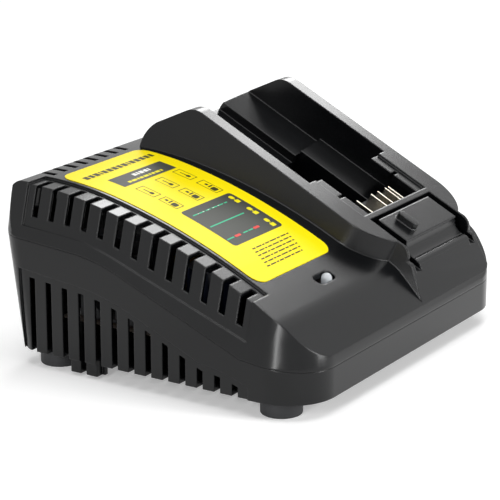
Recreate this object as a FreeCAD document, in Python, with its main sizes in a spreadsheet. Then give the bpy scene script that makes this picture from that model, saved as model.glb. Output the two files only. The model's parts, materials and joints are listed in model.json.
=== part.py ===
import FreeCAD, Part
import math
import os
import Sketcher

# A slide-in charger for power tool batteries, in millimetres.
# +Z is up, the low end with the lamp faces -Y and the battery bay lies on the +X side.
# The origin is on the ground, under the middle of the housing.

doc = FreeCAD.newDocument("battery_charger")
V = FreeCAD.Vector

DRIVING_SIZES = {
    # Housing
    "width": 184.5,
    "depth": 162.8,
    "wall": 2.5,
    "foot_drop": 7.5,
    "top_level": 84.5,
    "top_flat_end": 70.0,
    "crown_end": 31.5,
    "crown_drop": 4.6,
    "crown_radius": 178.0,
    "brow_end": -39.3,
    "brow_level": 54.5,
    "brow_radius": 320.0,
    "nose_end": -64.8,
    "nose_level": 41.8,
    "lip_level": 26.7,
    "front_corner": 23.0,
    "rear_corner": 12.0,
    "side_draft": 17.0,
    "far_side_draft": 4.0,
    "edge_round": 5.0,
    "nose_round": 3.5,
    "rear_lean": 8.0,
    "rear_top_lean": 9.0,
    # Seam between the two shells, falling from the rear to the front
    "seam_rear": 61.8,
    "seam_shoulder": 38.0,
    "seam_shoulder_level": 57.6,
    "seam_bend": 12.0,
    "seam_bend_level": 50.3,
    "seam_radius": 82.0,
    "seam_toe": -48.0,
    "seam_toe_level": 25.0,
    "seam_front": 20.5,
    "seam_gap": 0.1,
    # Side vents
    "vent_pitch": 9.0,
    "vent_count": 13,
    "vent_setback": 18.4,
    "vent_width": 3.0,
    "panel_depth": 1.0,
    "panel_margin": 4.3,
    "panel_setback": 12.9,
    "panel_lead": 31.4,
    "panel_reach": 19.75,
    "vent_reach": 17.25,
    "vent_cut": 6.0,
    "low_margin": 3.2,
    "low_panel_setback": 11.4,
    "low_panel_lead": 29.4,
    "border_drop": 5.0,
    "low_border_drop": 14.0,
    "border_radius": 110.0,
    "low_toe_radius": 60.0,
    "rear_vent_pitch": 7.85,
    "rear_vent_count": 8,
    "rear_vent_inset": 24.25,
    "rear_vent_low": 68.0,
    "rear_vent_reach": 15.4,
    # Battery bay, measured along its slope
    "slope": 27.0,
    "bay_centre": 45.45,
    "rail_plane": 76.63,
    "rail_outer": 43.0,
    "rail_inner": 35.4,
    "rail_step": 30.0,
    "lip_inner": 23.5,
    "lip_drop": 1.2,
    "lip_thick": 3.0,
    "lip_start": 15.7,
    "stop_face": 13.4,
    "stop_thick": 3.0,
    "ledge_depth": 17.4,
    "floor_depth": 20.6,
    "channel_depth": 25.0,
    "channel_half": 16.0,
    "step_up": 2.1,
    "step_at": 48.9,
    "well_half": 19.5,
    "well_depth": 34.0,
    "peak_at": 38.5,
    "peak_level": 104.2,
    "rail_setback": 16.8,
    "rail_rear_rise": 12.0,
    "rail_rear_run": 7.7,
    "rail_rear_round": 17.0,
    "peak_run": 4.5,
    "peak_drop": 1.2,
    "peak_round": 10.3,
    "rail_slope_end": 77.0,
    "rail_toe_round": 24.0,
    "rail_flare": 13.0,
    "saddle_deep": 32.0,
    # Latch tab in the low end of the bay
    "tab_half": 24.5,
    "tab_groove": 2.1,
    "tab_side_groove": 4.5,
    "tab_thick": 3.0,
    "tab_flat": 17.0,
    "tab_length": 24.0,
    "tab_nose_drop": 5.2,
    "tab_clearance": 0.3,
    "tab_well": 12.0,
    "notch_depth": 8.0,
    "nose_curve": 6.0,
    "chin_ledge": 1.5,
    "chin_curve": 2.5,
    "chin_run": 8.0,
    "chin_rise": 14.8,
    "boss_height": 3.5,
    "boss_width": 4.5,
    "boss_length": 10.0,
    "boss_offset": -11.2,
    # Terminals
    "blade_thick": 0.8,
    "blade_depth": 3.6,
    "blade_stand": 8.4,
    "blade_root": 5.0,
    "blade_length": 11.5,
    # Label and lamp
    "label_left": -70.5,
    "label_right": -8.5,
    "label_rear": 62.0,
    "label_front": -44.6,
    "label_thick": 0.3,
    "label_corner": 6.0,
    "lamp_across": -33.1,
    "lamp_along": -54.4,
    "lamp_radius": 2.5,
    "lamp_shift": 2.2,
    "lamp_level": 38.0,
    "lamp_hole": 14.0,
    "lamp_hole_width": 5.6,
    # Feet and fixings
    "foot_radius": 9.25,
    "foot_seat": 1.5,
    "rear_foot_inset": 14.25,
    "rear_foot_setback": 23.4,
    "front_foot_inset": 13.25,
    "front_foot_lead": 20.4,
    "post_radius": 4.0,
    "post_inset": 34.25,
    "rear_post_setback": 17.4,
    "front_post_lead": 15.4,
    "screw_radius": 1.5,
    "screw_head_radius": 3.0,
    "screw_head_height": 2.2,
    "screw_length": 18.0,
    "screw_lift": 3.0,
    "gland_x": 30.0,
    "gland_level": 30.0,
    "gland_radius": 6.0,
    "gland_bore": 3.5,
    "gland_sleeve": 12.0,
    "keyhole_spacing": 102.0,
    "keyhole_head": 4.2,
    "keyhole_slot": 2.2,
    "keyhole_run": 8.0,
    # Circuit boards and what stands on them
    "board_level": 22.0,
    "board_thick": 1.6,
    "board_left": -80.0,
    "board_right": 60.0,
    "board_rear": 54.0,
    "board_front": -50.0,
    "seat_gap": 0.1,
    # Fan
    "fan_size": 40.0,
    "fan_thick": 10.0,
    "fan_x": -78.0,
    "fan_y": 26.0,
    "fan_hub_radius": 9.0,
    "fan_blade_radius": 17.2,
    "fan_bore_radius": 18.5,
    "fan_shaft_radius": 1.5,
    "fan_running_gap": 0.05,
    # Board fixing and the lamp's support
    "stand_radius": 3.0,
    "stand_inset": 5.0,
    "board_hole_radius": 1.5,
    "board_screw_radius": 1.1,
    "board_screw_length": 7.0,
    "board_screw_head": 2.6,
    "board_screw_head_height": 1.8,
    "lamp_board_width": 22.0,
    "lamp_board_depth": 9.0,
    "lamp_leg_width": 2.0,
    "lamp_leg_depth": 6.0,
    "lamp_stem_height": 8.0,
}

sheet = doc.addObject("Spreadsheet::Sheet", "dim")
for row, (word, size) in enumerate(DRIVING_SIZES.items(), start=1):
    sheet.set("A%d" % row, word)
    sheet.set("B%d" % row, str(size))
    sheet.setAlias("B%d" % row, word)
doc.recompute()

kept = []


def formula(text):
    """Name the sheet in front of each of its words."""
    words = sorted(DRIVING_SIZES, key=len, reverse=True)
    out = ""
    i = 0
    while i < len(text):
        if text[i].isalpha():
            j = i
            while j < len(text) and (text[j].isalnum() or text[j] == "_"):
                j += 1
            word = text[i:j]
            out += "dim." + word if word in words else word
            i = j
        else:
            out += text[i]
            i += 1
    return out


def number(text):
    """The present value of a formula."""
    got = sheet.evalExpression(formula(str(text)))
    return float(got.Value) if hasattr(got, "Value") else float(got)


def bind(item, prop, text):
    item.setExpression(prop, formula(str(text)))


def keep(item, label):
    item.Label = label
    kept.append(item)
    return item


def place(item, at, turn=None):
    """Bind a placement: at is three formulas, turn an axis and an angle."""
    if turn:
        axis, angle = turn
        item.Placement = FreeCAD.Placement(V(0, 0, 0), FreeCAD.Rotation(axis, number(angle)))
        bind(item, "Placement.Rotation.Angle", angle)
    for letter, text in zip("xyz", at):
        bind(item, "Placement.Base." + letter, text)
    return item


def on_slope(x, along, above):
    """World formulas of a point given in the sloping frame of the bay."""
    y = "(%s)*cos(slope)-(%s)*sin(slope)" % (along, above)
    z = "(%s)*sin(slope)+(%s)*cos(slope)" % (along, above)
    return x, y, z


def block(name, size, at, sloped=False):
    item = doc.addObject("Part::Box", name)
    for prop, text in zip(("Length", "Width", "Height"), size):
        bind(item, prop, text)
    if sloped:
        return place(item, on_slope(*at), (V(1, 0, 0), "slope"))
    return place(item, at)


def post(name, radius, height, at, turn=None):
    item = doc.addObject("Part::Cylinder", name)
    bind(item, "Radius", radius)
    bind(item, "Height", height)
    return place(item, at, turn)


def fuse(name, shapes):
    item = doc.addObject("Part::MultiFuse", name)
    item.Shapes = shapes
    return item


def common(name, shapes):
    item = doc.addObject("Part::MultiCommon", name)
    item.Shapes = shapes
    return item


def cut(name, base, tools):
    item = doc.addObject("Part::Cut", name)
    item.Base = base
    item.Tool = tools[0] if len(tools) == 1 else fuse(name + "_tools", tools)
    return item


def arc_middle(a, b, radius):
    """The middle of the arc from a to b; a positive radius turns left."""
    half = (b - a) * 0.5
    r = abs(radius)
    rise = r - math.sqrt(max(r * r - half.Length ** 2, 0))
    side = V(half.y, -half.x, 0).normalize() * (rise if radius > 0 else -rise)
    return a + half + side


def outline(name, points):
    """A closed sketch. A point is two formulas, and a third is the radius of an arc to the next."""
    sketch = doc.addObject("Sketcher::SketchObject", name)
    spots = [V(number(p[0]), number(p[1]), 0) for p in points]
    count = len(points)
    for i, point in enumerate(points):
        a, b = spots[i], spots[(i + 1) % count]
        if len(point) == 3:
            sketch.addGeometry(Part.Arc(a, arc_middle(a, b, number(point[2])), b), False)
        else:
            sketch.addGeometry(Part.LineSegment(a, b), False)
    ends = []
    for i in range(count):
        geometry = sketch.Geometry[i]
        forward = geometry.StartPoint.distanceToPoint(spots[i]) < 1e-6
        ends.append((1, 2) if forward else (2, 1))
    for i in range(count):
        after = (i + 1) % count
        sketch.addConstraint(Sketcher.Constraint("Coincident", i, ends[i][1], after, ends[after][0]))
    for i, point in enumerate(points):
        for kind, text, value in (("DistanceX", point[0], spots[i].x),
                                  ("DistanceY", point[1], spots[i].y)):
            index = sketch.addConstraint(Sketcher.Constraint(kind, -1, 1, i, ends[i][0], value))
            bind(sketch, "Constraints[%d]" % index, text)
        if len(point) == 3:
            index = sketch.addConstraint(Sketcher.Constraint("Radius", i, abs(number(point[2]))))
            bind(sketch, "Constraints[%d]" % index, "abs(%s)" % point[2])
    return sketch


def extrude(name, sketch, length, both=False, direction=None):
    item = doc.addObject("Part::Extrusion", name)
    item.Base = sketch
    item.DirMode = "Custom" if direction else "Normal"
    if direction:
        item.Dir = V(*[number(part) for part in direction])
        for letter, text in zip("xyz", direction):
            bind(item, "Dir." + letter, text)
    item.Solid = True
    item.Symmetric = both
    bind(item, "LengthFwd", length)
    return item


SIDE_VIEW = FreeCAD.Rotation(V(1, 1, 1), 120)


def side_outline(name, points, x="0"):
    """An outline seen from +X: its first numbers run along Y, its second along Z."""
    sketch = outline(name, points)
    sketch.Placement = FreeCAD.Placement(V(number(x), 0, 0), SIDE_VIEW)
    bind(sketch, "Placement.Base.x", x)
    return sketch


def slope_outline(name, points, above, across="bay_centre"):
    """An outline drawn on the slope of the bay: across, then uphill."""
    return place(outline(name, points), on_slope(across, "0", above), (V(1, 0, 0), "slope"))


def section_outline(name, points, along, across="bay_centre"):
    """An outline square to the slope: across, then away from the slope."""
    return place(outline(name, points), on_slope(across, along, "0"), (V(1, 0, 0), "slope+90"))


# Outer form of the housing

SEAM = [
    ("depth/2+10", "seam_rear"),
    ("seam_shoulder", "seam_shoulder_level", "seam_radius"),
    ("seam_bend", "seam_bend_level"),
    ("seam_toe", "seam_toe_level"),
    ("-depth/2-10", "seam_front"),
]


# The side walls lean in from the seam up, and the front corners lean with them as cones

DRAFT_START = "(seam_toe_level-(seam_toe+depth/2-front_corner)*" \
              "(seam_toe_level-seam_front)/(seam_toe+depth/2+10))"
DRAFT_LINE = SEAM[:-1] + [("0-depth/2+front_corner", DRAFT_START)]


def leaning_corner(name, side, inset, draft):
    """What a front corner loses above the seam so that it leans in like the wall beside it."""
    centre_x = "%s(width/2-front_corner)" % side
    centre_y = "0-depth/2+front_corner"
    stock = block(name + "_stock", ("front_corner*1.5", "front_corner*1.5", "nose_level"),
                  (centre_x + ("-front_corner*1.5" if side else ""), centre_y + "-front_corner*1.5",
                   DRAFT_START))
    cone = doc.addObject("Part::Cone", name + "_cone")
    bind(cone, "Radius1", "front_corner-(%s)" % inset)
    bind(cone, "Radius2", "front_corner-(%s)-nose_level*tan(%s)" % (inset, draft))
    bind(cone, "Height", "nose_level")
    place(cone, (centre_x, centre_y, DRAFT_START))
    return cut(name, stock, [cone])


def top_profile(inset, drop, bottom):
    """The side view of the housing, pulled in by inset and lowered by drop."""
    rear = "depth/2-(%s)" % inset
    top = "top_level-(%s)" % drop
    top_rear = "(%s-tan(rear_top_lean)*(top_level-seam_rear))" % rear
    front_rise = "(nose_level-lip_level)/(depth/2+nose_end)"
    return [
        ("-(%s)" % rear, bottom),
        ("%s-tan(rear_lean)*(seam_rear-(%s))" % (rear, bottom), bottom),
        (rear, "seam_rear-(%s)/2" % drop),
        (top_rear, top + "-edge_round", "edge_round*1.1"),
        (top_rear + "-edge_round", top),
        ("top_flat_end", top, "crown_radius"),
        ("crown_end", "top_level-crown_drop-(%s)" % drop, "brow_radius"),
        ("brow_end", "brow_level-(%s)" % drop),
        ("nose_end+nose_round", "nose_level+nose_round*tan(slope)-(%s)" % drop, "nose_round*7"),
        ("nose_end-nose_round", "nose_level-nose_round*%s-(%s)" % (front_rise, drop)),
        ("-(%s)+(lip_level-%s)*tan(side_draft)" % (rear, DRAFT_START), "lip_level-(%s)" % drop),
        ("-(%s)" % rear, "%s-(%s)" % (DRAFT_START, drop)),
    ]


def plan_outline(name, inset):
    side = "(width/2-(%s))" % inset
    end = "(depth/2-(%s))" % inset
    front = "(front_corner-(%s))" % inset
    return outline(name, [
        ("-%s+%s" % (side, front), "-" + end),
        ("%s-%s" % (side, front), "-" + end, front),
        (side, "-%s+%s" % (end, front)),
        (side, "depth"),
        ("-" + side, "depth"),
        ("-" + side, "-%s+%s" % (end, front), front),
    ])


def rear_prism(name, inset):
    """The rounded rear of the housing, widest at the seam and leaning in above and below it."""
    side = "(width/2-(%s))" % inset
    end = "(depth/2-(%s))" % inset
    rear = "(rear_corner-(%s))" % inset
    rim = place(outline(name + "_rear_rim", [
        ("-" + side, "0-depth"),
        (side, "0-depth"),
        (side, "%s-%s" % (end, rear), rear),
        ("%s-%s" % (side, rear), end),
        ("-%s+%s" % (side, rear), end, rear),
        ("-" + side, "%s-%s" % (end, rear)),
    ]), ("0", "0", "seam_rear"))
    return fuse(name + "_rear", [
        extrude(name + "_rear_up", rim, "top_level",
                direction=("0", "-tan(rear_top_lean)", "1")),
        extrude(name + "_rear_down", rim, "top_level",
                direction=("0", "-tan(rear_lean)", "-1")),
    ])


def region(name, border, far, shift="0", x="0"):
    """The side-view region between a border and a far level; the border runs rear to front."""
    rim = [(p[0], "%s+(%s)" % (p[1], shift)) + tuple(p[2:]) for p in border]
    ends = [(border[-1][0], far), (border[0][0], far)]
    return side_outline(name, rim + ends, x)


def form(name, inset, drop, bottom):
    """The rounded wedge of the housing without its bay: its side view, its plan and its drafts."""
    side = extrude(name + "_side", side_outline(name + "_profile", top_profile(inset, drop, bottom)),
                   "width", both=True)
    plan = extrude(name + "_plan", plan_outline(name + "_rim", inset), "top_level*2")
    body = common(name + "_body", [side, plan, rear_prism(name, inset)])
    near = extrude(name + "_near", region(name + "_near_seam", DRAFT_LINE, "top_level*2",
                                          x="-width/2+(%s)" % inset),
                   "top_level", direction=("tan(side_draft)", "0", "1"))
    far = extrude(name + "_far", region(name + "_far_seam", DRAFT_LINE, "top_level*2",
                                        x="width/2-(%s)" % inset),
                  "top_level", direction=("-tan(far_side_draft)", "0", "1"))
    near_corner = leaning_corner(name + "_near_corner", "-", inset, "side_draft")
    far_corner = leaning_corner(name + "_far_corner", "", inset, "far_side_draft")
    return cut(name, body, [near, far, near_corner, far_corner])


outer_form = form("outer_form", "0", "0", "foot_drop")
inner_form = form("inner_form", "wall", "wall*1.1", "foot_drop+wall")
skin_form = form("skin_form", "panel_depth", "panel_depth*1.1", "0")

# Battery bay: two rails on a raised saddle, the hollow between them and the tub under it

def slope_point(along, depth):
    """A side-view point a given depth under the tops of the rails."""
    x, y, z = on_slope("0", along, "rail_plane-(%s)" % depth)
    return y, z


NOSE = "(0-stop_face-stop_thick-tab_groove-tab_flat)"
CREASE = "(0-stop_face-stop_thick-tab_groove-tab_length)"

saddle_side = extrude("saddle_side", side_outline("saddle_view", [
    ("depth/2-rail_setback", "seam_rear"),
    ("depth/2-rail_setback", "top_level", "rail_rear_round"),
    ("depth/2-rail_setback-rail_rear_run", "top_level+rail_rear_rise"),
    ("peak_at+peak_run", "peak_level-peak_drop", "peak_round"),
    slope_point("rail_slope_end", "0"),
    slope_point(NOSE, "0") + ("nose_curve",),
    slope_point(CREASE, "tab_nose_drop"),
    slope_point(CREASE + "-chin_ledge", "tab_nose_drop") + ("chin_curve",),
    ("-depth/2+chin_run", "lip_level+chin_rise"),
    ("-depth/2+wall/2", "lip_level"),
    ("-depth/2+wall*3", "seam_front"),
]), "width*2", both=True)
TAB_POCKET = "(tab_half+tab_side_groove)"
TOE = "(%s+1)" % TAB_POCKET
saddle_rim = slope_outline("saddle_rim", [
    ("-rail_outer", "depth"),
    ("-rail_outer", "0-stop_face", "rail_toe_round"),
    ("-" + TOE, NOSE + "+2"),
    ("-" + TOE, "0-depth/2"),
    (TOE, "0-depth/2"),
    (TOE, NOSE + "+2", "rail_toe_round"),
    ("rail_outer", "0-stop_face"),
    ("rail_outer", "depth"),
], "rail_plane")
saddle_plan = extrude("saddle_plan", saddle_rim, "1")
bind(saddle_plan, "LengthRev", "saddle_deep")
bind(saddle_plan, "TaperAngleRev", "rail_flare")
saddle_block = common("saddle_block", [saddle_side, saddle_plan,
                                       doc.getObject("outer_form_plan")])
saddle = cut("saddle", saddle_block, [doc.getObject("outer_form_far")])


def bay_section(name, points, rear, front):
    """A stretch of the hollow between two places along the slope."""
    rim = [(across, "rail_plane-(%s)" % depth) for across, depth in points]
    return extrude(name, section_outline(name + "_rim", rim, rear), "(%s)-(%s)" % (rear, front))


def floor_points(lift, half, deep):
    """The stepped floor of the bay with its middle trough, from side to side."""
    left = [
        ("-rail_inner", "ledge_depth-(%s)" % lift),
        ("-rail_step", "ledge_depth-(%s)+0.8" % lift),
        ("-(%s)" % half, "floor_depth-(%s)" % lift),
        ("-(%s)" % half, deep),
    ]
    right = [(across[1:], depth) for across, depth in reversed(left)]
    return left + right


OPEN_TOP = "-40"
rear_hollow = bay_section(
    "rear_hollow",
    [("-rail_inner", OPEN_TOP)] + floor_points("0", "channel_half", "channel_depth")
    + [("rail_inner", OPEN_TOP)], "130", "step_at")
middle_hollow = bay_section(
    "middle_hollow",
    [("-rail_inner", OPEN_TOP)] + floor_points("step_up", "well_half", "well_depth")
    + [("rail_inner", OPEN_TOP)], "step_at", "lip_start")
front_hollow = bay_section(
    "front_hollow",
    [("-rail_step", OPEN_TOP), ("-rail_step", "lip_drop"), ("-lip_inner", "lip_drop"),
     ("-lip_inner", "lip_drop+lip_thick"), ("-rail_inner", "lip_drop+lip_thick")]
    + floor_points("step_up", "well_half", "well_depth")
    + [("rail_inner", "lip_drop+lip_thick"), ("lip_inner", "lip_drop+lip_thick"),
       ("lip_inner", "lip_drop"), ("rail_step", "lip_drop"), ("rail_step", OPEN_TOP)],
    "lip_start", "0-stop_face")
lip_slits = block("lip_slits", ("56", "1.8", "lip_thick*2"),
                  ("bay_centre-28", "1.6", "rail_plane-lip_drop-lip_thick*1.5"), sloped=True)
tab_pocket = block("tab_pocket",
                   (TAB_POCKET + "*2", "tab_length+tab_groove+tab_clearance", "tab_well+20"),
                   ("bay_centre-" + TAB_POCKET, CREASE + "-tab_clearance", "rail_plane-tab_well"),
                   sloped=True)


def nose_notch(side, across):
    """The groove beside the tab where it runs on over the front edge."""
    return block("nose_notch_" + side, ("tab_side_groove", "30", "40"),
                 (across, CREASE + "-30", "rail_plane-notch_depth"), sloped=True)


notches = [nose_notch("left", "bay_centre-" + TAB_POCKET),
           nose_notch("right", "bay_centre+tab_half")]
bay_hollow = fuse("bay_hollow", [rear_hollow, middle_hollow, front_hollow, lip_slits,
                                 tab_pocket] + notches)


def tub_box(name, half, front, rear, depth):
    """The outside of one stretch of the tub that hangs inside the housing."""
    return block(name, ("(%s+wall)*2" % half, "(%s)-(%s)" % (rear, front), "depth"),
                 ("bay_centre-(%s)-wall" % half, front, "rail_plane-(%s)-wall" % depth),
                 sloped=True)


tub = fuse("tub", [
    tub_box("floor_tub", "rail_inner", "0-stop_face-stop_thick", "130", "channel_depth"),
    tub_box("well_tub", "well_half", "0-stop_face-stop_thick", "step_at+wall", "well_depth"),
    tub_box("tab_tub", TAB_POCKET, CREASE + "-wall-2", "0-stop_face-stop_thick", "tab_well"),
])
cavity = cut("cavity", inner_form, [tub])

# Vents of the label side

VENT_START = "(depth/2-vent_setback)"
PANEL_REAR = "(depth/2-panel_setback)"
PANEL_FRONT = "(panel_lead-depth/2)"
LOW_PANEL_REAR = "(depth/2-low_panel_setback)"
LOW_PANEL_FRONT = "(low_panel_lead-depth/2)"
VENT_BORDER = [
    (PANEL_REAR + "+10", "seam_rear+border_drop-0.3"),
    ("seam_shoulder+2", "seam_shoulder_level+border_drop+1.1", "border_radius"),
    ("seam_bend+2", "seam_bend_level+border_drop+1.3"),
    (PANEL_FRONT + "-30", "seam_toe_level-border_drop+0.8"),
]
LOW_BORDER = [
    (LOW_PANEL_REAR + "+10", "seam_rear-low_border_drop-0.5"),
    ("seam_shoulder-4", "seam_shoulder_level-low_border_drop-1.3", "border_radius"),
    ("seam_bend-6", "seam_bend_level-low_border_drop-2.3"),
    ("seam_toe+20", "seam_toe_level-6", "low_toe_radius"),
    (LOW_PANEL_FRONT + "-1", "seam_front-8.3"),
    (LOW_PANEL_FRONT + "-30", "seam_front-10.1"),
]


def comb(name, size, at, step, count):
    """A row of equal boxes along Y or X: the open air of a row of vents."""
    teeth = []
    for i in range(count):
        where = [at[0] + "+%d*(%s)" % (i, step[0]), at[1] + "+%d*(%s)" % (i, step[1]), at[2]]
        teeth.append(block("%s_%d" % (name, i + 1), size, where))
    return fuse(name, teeth)


vent_total = int(number("vent_count"))
high_comb = comb("high_comb", ("vent_reach+5", "vent_width", "top_level"),
                 ("-width/2-5", VENT_START + "-vent_width/2", "seam_front"),
                 ("0", "0-vent_pitch"), vent_total)
high_vents = common("high_vents", [high_comb, extrude(
    "high_vent_zone", region("high_vent_view", VENT_BORDER, "top_level*2", "panel_margin"),
    "width*2", both=True)])
low_comb = comb("low_comb", ("vent_cut+5", "vent_width", "top_level"),
                ("-width/2-5", VENT_START + "-vent_width/2", "0-top_level/4"),
                ("0", "0-vent_pitch"), vent_total)
far_comb = comb("far_comb", ("vent_cut+5", "vent_width", "top_level"),
                ("width/2-vent_cut", VENT_START + "-vent_width/2", "0-top_level/4"),
                ("0", "0-vent_pitch"), vent_total)
low_zone = extrude("low_vent_zone", region("low_vent_view", LOW_BORDER, "-20", "0-low_margin"),
                   "width*2", both=True)
low_vents = common("low_vents", [fuse("low_combs", [low_comb, far_comb]), low_zone])
rear_vents = comb("rear_vents", ("vent_width", "rear_vent_reach+10", "top_level"),
                  ("rear_vent_inset-width/2-vent_width/2", "depth/2-rear_vent_reach",
                   "rear_vent_low"),
                  ("rear_vent_pitch", "0"), int(number("rear_vent_count")))


def recess(name, border, far, front, rear, reach):
    """A shallow step in the outside of the side wall around a row of vents."""
    zone = extrude(name + "_zone", region(name + "_view", border, far), "width*2", both=True)
    frame = block(name + "_frame", ("(%s)+5" % reach, "(%s)-(%s)" % (rear, front),
                                    "top_level*2"), ("-width/2-5", front, "0-top_level/4"))
    patch = common(name + "_patch", [zone, frame])
    return cut(name, patch, [skin_form])


high_panel = recess("high_panel", VENT_BORDER, "top_level*2", PANEL_FRONT, PANEL_REAR,
                    "panel_reach")
low_panel = recess("low_panel", LOW_BORDER, "0-top_level", LOW_PANEL_FRONT, LOW_PANEL_REAR,
                   "wall*4")

# Lamp hole, screw posts and the two shells

lamp_slot = fuse("lamp_slot", [
    block("lamp_slot_middle", ("lamp_hole-lamp_hole_width", "lamp_hole_width", "30"),
          ("lamp_across-(lamp_hole-lamp_hole_width)/2", "lamp_along-lamp_hole_width/2", "35")),
    post("lamp_slot_left", "lamp_hole_width/2", "30",
         ("lamp_across-(lamp_hole-lamp_hole_width)/2", "lamp_along", "35")),
    post("lamp_slot_right", "lamp_hole_width/2", "30",
         ("lamp_across+(lamp_hole-lamp_hole_width)/2", "lamp_along", "35")),
])

POSTS = {
    "front_left": ("post_inset-width/2", "front_post_lead-depth/2"),
    "front_right": ("width/2-post_inset", "front_post_lead-depth/2"),
    "rear_left": ("post_inset-width/2", "depth/2-rear_post_setback"),
    "rear_right": ("width/2-post_inset", "depth/2-rear_post_setback"),
}
FEET = {
    "front_left": ("front_foot_inset-width/2", "front_foot_lead-depth/2"),
    "front_right": ("width/2-front_foot_inset", "front_foot_lead-depth/2"),
    "rear_left": ("rear_foot_inset-width/2", "depth/2-rear_foot_setback"),
    "rear_right": ("width/2-rear_foot_inset", "depth/2-rear_foot_setback"),
}


def posts_at(name, spots, radius, height, level):
    """Equal upright cylinders, one at each of the named spots."""
    return fuse(name, [post(name + "_" + spot, radius, height, at + (level,))
                       for spot, at in spots.items()])


columns = common("columns", [posts_at("column", POSTS, "post_radius", "top_level", "foot_drop+1"),
                             inner_form])
shell_block = fuse("shell_block", [outer_form, saddle])
hollow_block = cut("hollow_block", shell_block, [cavity])
columned_block = fuse("columned_block", [hollow_block, columns])
above_seam = extrude("above_seam", region("above_seam_view", SEAM, "top_level*2",
                                          "seam_gap/2"), "width*2", both=True)
below_seam = extrude("below_seam", region("below_seam_view", SEAM, "-20",
                                          "0-seam_gap/2"), "width*2", both=True)


def upper_housing():
    """The top shell with the bay, the lamp hole and the vents cut through it."""
    hung_tub = cut("hung_tub", common("tub_inside", [tub, inner_form]), [above_seam])
    shell = fuse("upper_shell", [common("upper_walls", [columned_block, above_seam]), hung_tub])
    holes = posts_at("thread_hole", POSTS, "screw_radius", "screw_length+2", "foot_drop+screw_lift")
    lamp_seat = post("lamp_seat", "lamp_radius+seat_gap", "30",
                     ("lamp_across+lamp_shift", "lamp_along", "35"))
    return keep(cut("upper_cut", shell, [bay_hollow, high_vents, rear_vents, high_panel,
                                         lamp_slot, lamp_seat, holes]), "upper_housing")


def keyhole(side, x):
    """A hole for a screw head with a narrow run uphill from it, for hanging on a wall."""
    return fuse("keyhole_" + side, [
        post("keyhole_head_" + side, "keyhole_head", "wall*3", (x, "0-keyhole_run/2", "foot_drop-wall")),
        block("keyhole_slot_" + side, ("keyhole_slot*2", "keyhole_run", "wall*3"),
              (x + "-keyhole_slot", "0-keyhole_run/2", "foot_drop-wall")),
        post("keyhole_end_" + side, "keyhole_slot", "wall*3", (x, "keyhole_run/2", "foot_drop-wall")),
    ])


def gland_post(name, radius, length, out):
    """A cylinder square to the leaning rear wall, from a place outside it inwards."""
    wall_y = "depth/2-tan(rear_lean)*(seam_rear-gland_level)"
    return post(name, radius, length, (
        "gland_x", "%s+(%s)*cos(rear_lean)" % (wall_y, out),
        "gland_level-(%s)*sin(rear_lean)" % out), (V(1, 0, 0), "90-rear_lean"))


def lower_housing():
    """The bottom shell with its vents, foot sockets, screw holes and board posts."""
    shell = cut("lower_shell", common("lower_walls", [columned_block, below_seam]), [tub])
    rail = block("base_rail", ("6", "16", "foot_drop-1.5+wall/2"),
                 ("-width/2+2", "27", "1.5"))
    stands = posts_at("board_stand", BOARD_STANDS, "stand_radius", "board_level-foot_drop-1", "foot_drop+1")
    body = fuse("lower_body", [shell, stands, rail])
    shafts = posts_at("screw_shaft_hole", POSTS, "screw_radius+0.2", "top_level", "foot_drop-1")
    heads = posts_at("screw_head_hole", POSTS, "screw_head_radius+0.3",
                     "screw_head_height+screw_lift", "foot_drop-screw_head_height")
    sockets = posts_at("foot_socket", FEET, "foot_radius+seat_gap", "foot_seat+1", "foot_drop-1")
    pilot = posts_at("board_screw_hole", BOARD_STANDS, "board_screw_radius", "board_screw_length",
                     "board_level-board_screw_length")
    gland_hole = gland_post("gland_hole", "gland_radius", "wall*4", "wall*2")
    return keep(cut("lower_cut", body, [
        low_vents, low_panel, shafts, heads, sockets, pilot, gland_hole,
        keyhole("left", "0-keyhole_spacing/2"), keyhole("right", "keyhole_spacing/2"),
    ]), "lower_housing")


BOARD_STANDS = {
    "front_left": ("board_left+stand_inset", "board_front+stand_inset"),
    "front_right": ("board_right-stand_inset", "board_front+stand_inset"),
    "rear_left": ("board_left+stand_inset", "board_rear-stand_inset"),
    "rear_right": ("board_right-stand_inset", "board_rear-stand_inset"),
}
BOARD_TOP = "board_level+board_thick"


def rubber_feet():
    for name, at in FEET.items():
        foot = post("foot_" + name, "foot_radius", "foot_drop+foot_seat", at + ("0",))
        keep(foot, name + "_foot")


def housing_screws():
    """Four self-tapping screws driven up into the posts of the top shell."""
    shafts = posts_at("screw_shaft", POSTS, "screw_radius", "screw_length",
                      "foot_drop+screw_lift-0.5")
    heads = posts_at("screw_head", POSTS, "screw_head_radius", "screw_head_height",
                     "foot_drop+screw_lift-screw_head_height")
    keep(fuse("housing_screw_set", [shafts, heads]), "housing_screws")


def label():
    """The thin sticker that follows the crowned top."""
    sheet_block = extrude("label_block", outline("label_rim", [
        ("label_left+label_corner", "label_front"),
        ("label_right-label_corner", "label_front", "label_corner"),
        ("label_right", "label_front+label_corner"),
        ("label_right", "label_rear-label_corner", "label_corner"),
        ("label_right-label_corner", "label_rear"),
        ("label_left+label_corner", "label_rear", "label_corner"),
        ("label_left", "label_rear-label_corner"),
        ("label_left", "label_front+label_corner", "label_corner"),
    ]), "top_level*2")
    top = extrude("label_over", side_outline("label_over_view",
                  top_profile("0", "0-label_thick", "seam_front")), "width", both=True)
    return keep(cut("label_sheet", common("label_raised", [sheet_block, top]), [outer_form]),
                "label")


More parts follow.
